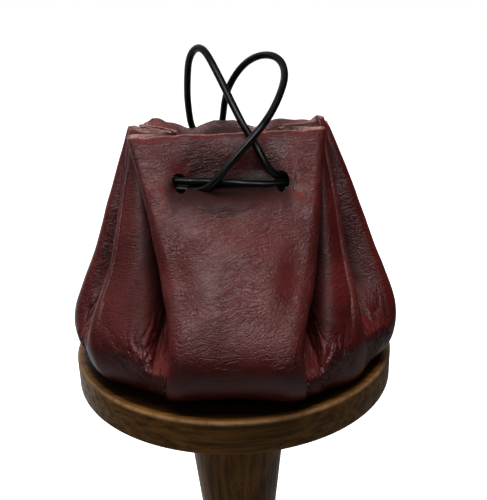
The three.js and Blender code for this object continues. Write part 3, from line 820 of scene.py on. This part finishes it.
def leather_faces(shape, half_shape, holes):
    """The leather's polygons between an outer grid of rings and an inner one with half as many rings
    and columns: both grids without the holes' cells, a cap on each at the base, the holes' walls and the
    rim. Returns them with the material of each: grain outside and in the holes, suede, or cut edge."""
    rings, columns = shape
    half_rings, half_columns = half_shape
    grid = np.arange(rings * columns).reshape(shape)
    half_grid = rings * columns + np.arange(half_rings * half_columns).reshape(half_shape)
    pole = rings * columns + half_rings * half_columns

    def quads(g, keep):
        """The cells of a grid of closed rings that are kept."""
        on = np.roll(g, -1, axis=1)
        cells = np.stack([g[:-1], g[1:], on[1:], on[:-1]], axis=-1)
        return cells[keep]

    def edge(g, r, c, tall, wide):
        """The loop of points round a block of cells, on along its first row to start with."""
        return np.concatenate([g[r, c:c + wide], g[r:r + tall, c + wide],
                               g[r + tall, c + wide:c:-1], g[r + tall:r:-1, c]])

    keep = np.ones((rings - 1, columns), dtype=bool)
    half_keep = np.ones((half_rings - 1, half_columns), dtype=bool)
    walls = []
    for row, column in holes:
        keep[row:row + HOLE_ROWS, column:column + HOLE_COLUMNS] = False
        half_keep[row // 2:(row + HOLE_ROWS) // 2, column // 2:(column + HOLE_COLUMNS) // 2] = False
        walls.append(stitch(edge(grid, row, column, HOLE_ROWS, HOLE_COLUMNS),
                            edge(half_grid, row // 2, column // 2, HOLE_ROWS // 2, HOLE_COLUMNS // 2)))
    ring, half_ring = grid[0], half_grid[0]
    outside = quads(grid, keep)
    inside = quads(half_grid, half_keep)[:, ::-1]
    under = np.stack([np.full(columns, pole), ring, np.roll(ring, -1)], -1)
    bottom = np.stack([np.full(half_columns, pole + 1), np.roll(half_ring, -1), half_ring], -1)
    faces = [outside, inside, under, bottom, np.concatenate(walls), stitch(grid[-1], half_grid[-1])]
    finishes = (GRAIN, SUEDE, GRAIN, SUEDE, GRAIN, CUT_EDGE)
    slots = np.concatenate([np.full(len(block), finish) for block, finish in zip(faces, finishes)])
    return faces, slots


def leather_piece(name, materials):
    """The pouch's leather: rings from the flat base up the rounded belly and the folded wall, with
    the leather's thickness laid to both sides of that middle surface along its own direction. The base
    stands wider at one pleat, and the front panel's corners are moved sideways at their feet. The inner
    side takes every second ring and column, and the rim is ragged. Marks say where the finish changes
    and where the painted highlight and the painted shade lie."""
    fold, kind, share = column_plan()
    u = np.linspace(0.0, 1.0, WALL_ROWS + 1)
    wall = wall_rings(u, fold, kind, share)
    on_panel = np.zeros(len(fold))
    holes = []
    for i in np.nonzero(PANEL_AFTER)[0]:
        columns = np.nonzero((fold == i) & (kind == LEG))[0]
        wall[:, columns], corners = panel_with_holes(i, share[columns], u)
        holes += [(BASE_ROWS + CORNER_ROWS + row, columns[0] + column) for row, column in corners]
        on_panel[columns] = 1.0
    belly = wall[0]
    wide = near_fold(belly, fold, kind, WIDE_BASE_FOLD, WIDE_BASE_SPREAD)
    base = base_rings(belly, BASE_SHARE + (WIDE_BASE_SHARE - BASE_SHARE) * wide)
    middle = np.concatenate([base, wall])
    low_down = 1.0 - smooth(middle[..., 2] / FOOT_FLARE_HEIGHT)
    for corner, flare in FOOT_FLARES.items():
        middle[..., 0] += flare * near_fold(belly, fold, kind, corner, FOOT_FLARE_SPREAD) * low_down

    off_ridge = ridge_distance(middle, fold, kind)
    fan, fan_weight = crease_fans(middle, fold, kind)
    fan_weight = fan_weight * smooth((off_ridge - 0.8) / 3.0)
    relief = leather_relief(middle, fan, fan_weight, on_panel[None])
    worn_and_highlight, beside, fold_shade = fold_finish_and_painted_light(middle[..., 2], off_ridge, fold, kind, share, on_panel[None])
    middle = middle + outward(middle) * relief[..., None]
    half_thickness = outward(middle) * (LEATHER / 2.0)
    outer = middle + half_thickness
    inner = (middle - half_thickness)[::2, ::2]
    ragged = (RAGGED_FINE * lattice_noise(outer[-1] / RAGGED_FINE_SIZE, 7)
              + RAGGED_WAVE * lattice_noise(outer[-1] / RAGGED_WAVE_SIZE, 8))
    inner_rim = inner[-1, :, 2]
    level = np.stack([inner_rim, (inner_rim + np.roll(inner_rim, -1)) / 2.0], axis=-1).reshape(-1)
    drop = level + ragged - RIM_BEVEL - outer[-1, :, 2]
    outer[-RIM_ROWS:, :, 2] += np.linspace(0.0, 1.0, RIM_ROWS)[:, None] * drop
    inner[-1, :, 2] += ragged[::2]

    vertices = np.concatenate([outer.reshape(-1, 3), inner.reshape(-1, 3),
                               [[0.0, 0.0, 0.0], [0.0, 0.0, LEATHER]]])
    vertices[:, 2] += POUCH_LEVEL
    faces, slots = leather_faces(outer.shape[:2], inner.shape[:2], holes)
    unmarked = np.zeros((len(vertices) - fold_shade.size, 3))
    # The first mark holds the paler line along the folds, partly a painted highlight, then the fans'
    # weight and the short creases; the last holds the painted shade in the folds
    marks = {"fold_marks": np.stack([worn_and_highlight, fan_weight, beside], axis=-1), "fan": fan,
             "fold_shade": np.stack([fold_shade, fold_shade, fold_shade], axis=-1)}
    marks = {mark: np.concatenate([values.reshape(-1, 3), unmarked]) for mark, values in marks.items()}
    return put_mesh(name, vertices, faces, materials, slots, LEATHER_SHARP_DEG, marks)


def new_finish(name):
    """A material with its node tree and its shader."""
    material = bpy.data.materials.new(name)
    material.use_nodes = True
    return material, material.node_tree, material.node_tree.nodes["Principled BSDF"]


def add(tree, kind, *values, out=0, **settings):
    """A node with its settings, and its inputs in order: each one a value, another node's output, or
    None to leave it. Returns the node's output numbered out."""
    made = tree.nodes.new(kind)
    for key, value in settings.items():
        setattr(made, key, value)
    for socket, value in zip(made.inputs, values):
        if isinstance(value, bpy.types.NodeSocket):
            tree.links.new(value, socket)
        elif value is not None:
            socket.default_value = value
    return made.outputs[out]


def sums(tree, operation, a, b):
    """One step of arithmetic on two numbers."""
    return add(tree, "ShaderNodeMath", a, b, operation=operation)


def joined(tree, operation, values):
    """Numbers put together from the first to the last by one kind of arithmetic."""
    result = values[0]
    for value in values[1:]:
        result = sums(tree, operation, result, value)
    return result


def times(tree, *values):
    """The product of numbers."""
    return joined(tree, "MULTIPLY", values)


def total(tree, *values):
    """The sum of numbers."""
    return joined(tree, "ADD", values)


def axes_of(tree, place):
    """A place's three numbers, by the letter of their axis."""
    return add(tree, "ShaderNodeSeparateXYZ", place).node.outputs


def stretch(tree, place, x, y, z):
    """A place multiplied by its own number on each axis."""
    return add(tree, "ShaderNodeVectorMath", place, (x, y, z), operation="MULTIPLY")


def in_mm(tree):
    """The place on the object in millimetres."""
    coordinates = tree.nodes.new("ShaderNodeTexCoord")
    return stretch(tree, coordinates.outputs["Object"], 1000.0, 1000.0, 1000.0)


def cloud(tree, place, scale, detail=2.0):
    """Cloudy noise between 0 and 1."""
    return add(tree, "ShaderNodeTexNoise", place, None, scale, detail)


def drifted(tree, place, scale, reach):
    """A place moved about by cloudy noise."""
    drift = add(tree, "ShaderNodeTexNoise", place, None, scale, 1.0, out=1)
    drift = add(tree, "ShaderNodeVectorMath", drift, (0.5, 0.5, 0.5), operation="SUBTRACT")
    return add(tree, "ShaderNodeVectorMath", drift, (reach, reach, reach), place, operation="MULTIPLY_ADD")


def eased_step(tree, value, low, high, start=0.0, end=1.0):
    """Smoothstep of a value between low and high, from start to end."""
    return add(tree, "ShaderNodeMapRange", value, low, high, start, end, interpolation_type="SMOOTHSTEP")


def thin_lines(tree, value, width):
    """Thin lines where a cloudy value passes its middle: 0 on a line, 1 from its width on."""
    off = sums(tree, "ABSOLUTE", sums(tree, "SUBTRACT", value, 0.5), 0.0)
    return eased_step(tree, off, 0.0, width)


def mixed(tree, share, first, second):
    """The first colour turning into the second with the share."""
    node = tree.nodes.new("ShaderNodeMix")
    node.data_type = "RGBA"
    for number, value in ((0, share), (6, first), (7, second)):
        if isinstance(value, bpy.types.NodeSocket):
            tree.links.new(value, node.inputs[number])
        elif number:
            node.inputs[number].default_value = (*value, 1.0)
        else:
            node.inputs[number].default_value = value
    return node.outputs[2]


def raise_by(tree, shader, height):
    """Bump from a height in millimetres."""
    bump = tree.nodes.new("ShaderNodeBump")
    bump.inputs["Strength"].default_value = 1.0
    bump.inputs["Distance"].default_value = MM
    tree.links.new(height, bump.inputs["Height"])
    tree.links.new(bump.outputs["Normal"], shader.inputs["Normal"])


def burgundy_grain():
    """The leather's grain side. Its height adds up level creases, long creases, cells, pebbles, fans of
    creases at the tucks' feet and fine fuzz. Its colour is a cloudy dark red with painted shade along the
    cells' edges, in the fans' creases and far into the folds, and a painted shadow of the cord's span in a
    band round it. It is paler along the outward folds, partly from rubbing and partly as a painted
    highlight. The painted fold shade and the cord's painted shadow are matt."""
    material, tree, shader = new_finish("burgundy_grain_leather")
    place = in_mm(tree)
    axes = axes_of(tree, place)
    fold_marks = axes_of(tree, add(tree, "ShaderNodeAttribute", attribute_name="fold_marks", out=1))
    worn_and_highlight, fan_weight, beside = fold_marks["X"], fold_marks["Y"], fold_marks["Z"]
    fan = add(tree, "ShaderNodeAttribute", attribute_name="fan", out=1)
    fold_shade = add(tree, "ShaderNodeAttribute", attribute_name="fold_shade", out=2)

    bent = add(tree, "ShaderNodeVectorRotate", place, (0.0, 0.0, 0.0), None, GRAIN_TILT,
               rotation_type="Y_AXIS")
    bent = drifted(tree, drifted(tree, bent, 0.13, 3.5), 0.6, 0.9)
    patches = eased_step(tree, cloud(tree, place, 0.09, 2.0), 0.36, 0.64, 0.35, 1.0)
    above_base = eased_step(tree, axes["Z"], POUCH_LEVEL + 8.0, POUCH_LEVEL + 18.0, 0.35, 1.0)
    depth = sums(tree, "MAXIMUM", times(tree, patches, above_base), times(tree, beside, 0.8))
    level_lines = thin_lines(tree, cloud(tree, stretch(tree, bent, 0.46, 0.46, 1.6), 1.0, 1.5), 0.075)
    long_lines = thin_lines(tree, cloud(tree, stretch(tree, bent, 0.11, 0.11, 0.46), 1.0, 2.0), 0.045)
    cells = add(tree, "ShaderNodeTexVoronoi", stretch(tree, bent, 0.44, 0.44, 1.35), None, 1.0,
                feature="DISTANCE_TO_EDGE")
    cells = eased_step(tree, cells, 0.0, 0.14)
    pebbles = add(tree, "ShaderNodeTexVoronoi", bent, None, 1.9, feature="F1")
    strands = thin_lines(tree, cloud(tree, stretch(tree, fan, 11.0, 0.22, 5.3), 1.0, 3.0), 0.08)
    fuzz = cloud(tree, place, 2.6, 3.0)
    raise_by(tree, shader, total(
        tree, times(tree, level_lines, depth, LEVEL_LINE_DEPTH),
        times(tree, long_lines, depth, LONG_LINE_DEPTH), times(tree, cells, depth, CELL_DEPTH),
        times(tree, pebbles, -PEBBLE_DEPTH), times(tree, strands, fan_weight, STRAND_DEPTH),
        times(tree, fuzz, FUZZ_DEPTH)))

    tone = eased_step(tree, cloud(tree, place, 0.07, 4.0), 0.3, 0.7)
    colour = mixed(tree, tone, GRAIN_DEEP_RED, GRAIN_RED)
    # Painted shade along the cells' edges, stronger where the creases are fuller
    lines = times(tree, eased_step(tree, cells, 0.0, 1.0, 0.4, 0.0),
                  eased_step(tree, depth, 0.2, 1.0, 0.25, 1.0))
    colour = mixed(tree, lines, colour, GRAIN_CREASE_SHADE)
    off_middle = sums(tree, "ABSOLUTE", axes["X"], 0.0)
    # Painted shadow of the cord's span: a darker, matt band round it across the middle
    painted_shade = times(tree, eased_step(tree, axes["Z"], POUCH_LEVEL + 44.0, POUCH_LEVEL + 51.0),
                  eased_step(tree, axes["Z"], POUCH_LEVEL + 52.5, POUCH_LEVEL + 56.0, 1.0, 0.0),
                  eased_step(tree, off_middle, 14.6, 17.8, 0.88, 0.0))
    colour = mixed(tree, painted_shade, colour, GRAIN_CORD_SHADOW)
    # Painted shade in the creases of the fans
    dark = times(tree, fan_weight, eased_step(tree, strands, 0.0, 1.0, 0.4, 0.0))
    colour = mixed(tree, dark, colour, GRAIN_SHADOW)
    # Painted shade far into the folds and at the sharp turns
    colour = mixed(tree, times(tree, fold_shade, 0.42), colour, GRAIN_SHADOW)
    # Paler along the outward folds, partly from rubbing and partly a painted highlight
    rubbed_and_highlight = times(tree, worn_and_highlight, eased_step(tree, cloud(tree, place, 0.5, 2.0), 0.3, 0.7, 0.05, 0.28))
    colour = mixed(tree, rubbed_and_highlight, colour, GRAIN_WORN_HIGHLIGHT)
    tree.links.new(colour, shader.inputs["Base Color"])
    roughness = eased_step(tree, cloud(tree, place, 0.3, 3.0), 0.3, 0.7, 0.30, 0.39)
    roughness = total(tree, roughness, times(tree, fold_shade, 0.3), times(tree, painted_shade, 0.3))
    tree.links.new(roughness, shader.inputs["Roughness"])
    shader.inputs["Specular IOR Level"].default_value = 0.5
    return material


def pink_suede():
    """The leather's flesh side: short matted fibres in pinkish red-brown, with nearly black painted shade
    inside the pouch from the cord's holes down."""
    material, tree, shader = new_finish("pink_suede")
    place = in_mm(tree)
    fibres = cloud(tree, drifted(tree, place, 0.9, 1.6), 2.4, 4.0)
    naps = cloud(tree, place, 0.22, 3.0)
    colour = mixed(tree, eased_step(tree, fibres, 0.3, 0.7), SUEDE_DARK, SUEDE_PALE)
    colour = mixed(tree, eased_step(tree, naps, 0.35, 0.7, 0.0, 0.5), colour, SUEDE_NAP)
    up = axes_of(tree, place)["Z"]
    # Painted shade, nearly black, inside the pouch from the cord's holes down
    painted_shade = eased_step(tree, up, POUCH_LEVEL + 55.0, POUCH_LEVEL + 58.5, 0.95, 0.0)
    colour = mixed(tree, painted_shade, colour, SUEDE_INSIDE_SHADE)
    tree.links.new(colour, shader.inputs["Base Color"])
    raise_by(tree, shader, times(tree, fibres, 0.30))
    shader.inputs["Roughness"].default_value = 0.95
    shader.inputs["Specular IOR Level"].default_value = 0.1
    shader.inputs["Sheen Weight"].default_value = 0.7
    shader.inputs["Sheen Roughness"].default_value = 0.5
    return material


def cut_leather():
    """The cut edge between the two sides: pale undyed fibres with darker flecks."""
    material, tree, shader = new_finish("cut_leather_edge")
    fibres = cloud(tree, stretch(tree, in_mm(tree), 1.2, 1.2, 3.0), 1.1, 4.0)
    colour = mixed(tree, eased_step(tree, fibres, 0.3, 0.68), EDGE_DARK, EDGE_PALE)
    tree.links.new(colour, shader.inputs["Base Color"])
    raise_by(tree, shader, times(tree, fibres, 0.2))
    shader.inputs["Roughness"].default_value = 0.9
    shader.inputs["Specular IOR Level"].default_value = 0.15
    return material


def black_cord():
    """Round leather cord: nearly black with a slight green, lengthwise scuffs and a waxy gloss."""
    material, tree, shader = new_finish("black_cord_leather")
    along = add(tree, "ShaderNodeUVMap", uv_map="along_and_round")
    scuffs = cloud(tree, stretch(tree, along, 260.0, 9.0, 1.0), 1.0, 4.0)
    colour = mixed(tree, eased_step(tree, scuffs, 0.45, 0.75), CORD_BLACK, CORD_SCUFF)
    tree.links.new(colour, shader.inputs["Base Color"])
    tree.links.new(eased_step(tree, scuffs, 0.3, 0.7, 0.24, 0.42), shader.inputs["Roughness"])
    raise_by(tree, shader, times(tree, scuffs, 0.06))
    shader.inputs["Specular IOR Level"].default_value = 0.55
    return material


def stained_wood(name, grain, radius, top):
    """Dark stained and waxed wood: streaks along the grain, fine pores and turning marks. Its upper face,
    at the given height, has nearly black painted shadow inward of the given radius, a scuffed orange-brown
    band near that radius and a pale scuffed edge there."""
    material, tree, shader = new_finish(name)
    place = in_mm(tree)
    axes = axes_of(tree, place)
    streaks = cloud(tree, stretch(tree, drifted(tree, place, 0.03, 6.0), *grain), 1.0, 5.0)
    pores = cloud(tree, stretch(tree, place, *(4.0 * g for g in grain)), 1.0, 3.0)
    from_axis = sums(tree, "POWER", total(tree, times(tree, axes["X"], axes["X"]),
                                          times(tree, axes["Y"], axes["Y"])), 0.5)
    turning = cloud(tree, add(tree, "ShaderNodeCombineXYZ", from_axis, 0.0, axes["Z"]), 1.3, 2.0)
    colour = mixed(tree, eased_step(tree, streaks, 0.3, 0.7), WOOD_DARK, WOOD_PALE)
    colour = mixed(tree, eased_step(tree, pores, 0.56, 0.72, 0.0, 0.6), colour, WOOD_PORE)
    colour = mixed(tree, eased_step(tree, turning, 0.5, 0.75, 0.0, 0.3), colour, WOOD_TURNING)
    upper = eased_step(tree, axes["Z"], top - 0.9, top - 0.1)
    # Painted shadow inward of the given radius
    shadow_on_top = times(tree, upper, eased_step(tree, from_axis, radius - 2.6, radius - 1.0, 0.92, 0.0))
    colour = mixed(tree, shadow_on_top, colour, WOOD_PAINTED_SHADOW)
    face = times(tree, upper, eased_step(tree, from_axis, radius - 2.2, radius - 0.9),
                 eased_step(tree, streaks, 0.25, 0.7, 0.25, 0.8))
    colour = mixed(tree, face, colour, WOOD_FACE)
    edge = times(tree, eased_step(tree, axes["Z"], top - 1.3, top - 0.3),
                 eased_step(tree, from_axis, radius - 1.1, radius - 0.4),
                 eased_step(tree, cloud(tree, place, 0.5, 3.0), 0.3, 0.6, 0.25, 0.9))
    colour = mixed(tree, edge, colour, WOOD_EDGE)
    tree.links.new(colour, shader.inputs["Base Color"])
    tree.links.new(eased_step(tree, streaks, 0.3, 0.7, 0.46, 0.34), shader.inputs["Roughness"])
    raise_by(tree, shader, total(tree, times(tree, pores, -0.03), times(tree, turning, 0.03)))
    shader.inputs["Specular IOR Level"].default_value = 0.16
    return material


photo_camera()

cord_leather = black_cord()
for name, route, lay in (
        ("cord_front_span", FRONT_SPAN, "taut"), ("cord_back_span", BACK_SPAN, "taut"),
        ("cord_right_loop", RIGHT_LOOP, "loose"), ("cord_left_loop", LEFT_LOOP, "loose")):
    piece, path, length = cord_piece(name, route, cord_leather)
    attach(piece, "root")
    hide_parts(name.replace("cord_", "drawstring_"))

leather = leather_piece("pouch_skin", [burgundy_grain(), pink_suede(), cut_leather()])
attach(leather, "root")
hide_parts("pouch_leather")

plate_bottom = STAND_HEIGHT - PLATE_THICKNESS
for name, node, profile, wood in (
        ("stand_plate_turned", "stand_plate",
         disc_profile(PLATE_RADIUS, plate_bottom, STAND_HEIGHT, PLATE_ROUND, PLATE_ROUND),
         stained_wood("plate_wood", LEVEL_STREAKS, PLATE_RADIUS, STAND_HEIGHT)),
        ("stand_stem_turned", "stand_stem", stem_profile(),
         stained_wood("stem_wood", UPRIGHT_STREAKS, 2.0 * STEM_TOP_RADIUS, STAND_HEIGHT)),
        ("stand_foot_turned", "stand_foot",
         disc_profile(FOOT_RADIUS, 0.0, FOOT_THICKNESS, FOOT_LOWER_ROUND, FOOT_UPPER_ROUND),
         stained_wood("foot_wood", LEVEL_STREAKS, FOOT_RADIUS, FOOT_THICKNESS))):
    piece = turned_piece(name, profile, wood)
    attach(piece, "root")
    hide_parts(node)


def soft_light(name, place, size, radiance, target, sheen):
    """A rectangular soft light of the given brightness, turned to its target. It lights either the sheen
    of the surfaces or their matt part."""
    light = bpy.data.lights.new(name, "AREA")
    light.shape = "RECTANGLE"
    light.size, light.size_y = size
    light.energy = radiance * math.pi * size[0] * size[1]
    lamp = bpy.data.objects.new(name, light)
    bpy.context.scene.collection.objects.link(lamp)
    lamp.location = place
    lamp.visible_glossy = sheen
    lamp.visible_diffuse = not sheen
    lamp.rotation_euler = (Vector(target) - Vector(place)).to_track_quat("-Z", "Y").to_euler()


def studio():
    """A wide pale floor that glows like a light table, and a white surround that lights the pieces from
    behind on the left and dimly from above, below and the left. A wide soft key light overhead and a weak
    fill in front light the matt parts, and the reflection of a long card high in front is the sheen."""
    scene = bpy.context.scene
    scene.view_settings.view_transform = "Standard"
    world = bpy.data.worlds.new("studio")
    scene.world = world
    world.use_nodes = True
    tree = world.node_tree
    ahead = axes_of(tree, add(tree, "ShaderNodeTexCoord", out=0))
    behind = times(tree, eased_step(tree, ahead["Y"], 0.1, 0.9, 0.0, 0.7),
                   eased_step(tree, ahead["X"], 0.0, 0.55, 1.0, 0.0))
    above = eased_step(tree, ahead["Z"], 0.3, 0.9, 0.0, 0.05)
    below = eased_step(tree, ahead["Z"], -0.75, -0.2, 0.27, 0.0)
    left = times(tree, eased_step(tree, ahead["X"], -0.85, -0.25, 0.25, 0.0),
                 eased_step(tree, ahead["Z"], 0.1, 0.4))
    brightness = total(tree, behind, above, below, left)
    surround = add(tree, "ShaderNodeBackground", (0.97, 0.99, 1.0, 1.0), brightness)
    white = add(tree, "ShaderNodeBackground", (1.0, 1.0, 1.0, 1.0), 1.0)
    seen = add(tree, "ShaderNodeLightPath", out=0)
    both = add(tree, "ShaderNodeMixShader", seen, surround, white)
    tree.links.new(both, tree.nodes["World Output"].inputs["Surface"])
    mesh = bpy.data.meshes.new("floor")
    r = FLOOR_HALF_WIDTH
    mesh.from_pydata([(-r, -r, 0.0), (r, -r, 0.0), (r, r, 0.0), (-r, r, 0.0)], [], [(0, 1, 2, 3)])
    pale, _, floor_shader = new_finish("pale_floor")
    floor_shader.inputs["Base Color"].default_value = (0.85, 0.85, 0.85, 1.0)
    floor_shader.inputs["Roughness"].default_value = 0.9
    floor_shader.inputs["Emission Color"].default_value = (1.0, 1.0, 1.0, 1.0)
    floor_shader.inputs["Emission Strength"].default_value = 0.95
    mesh.materials.append(pale)
    floor = bpy.data.objects.new("floor", mesh)
    floor.visible_glossy = False
    floor.visible_diffuse = False
    scene.collection.objects.link(floor)
    target = (0.0, 0.0, 0.15)
    soft_light("key_light", (-0.02, 0.12, 1.3), (0.9, 0.5), 11.6, target, False)
    soft_light("front_card", (-0.17, -0.95, 1.06), (1.15, 0.28), 6.4, target, True)
    soft_light("front_fill", (-0.2, -1.2, 0.95), (0.6, 0.5), 0.5, target, False)


studio()

bpy.context.view_layer.update()
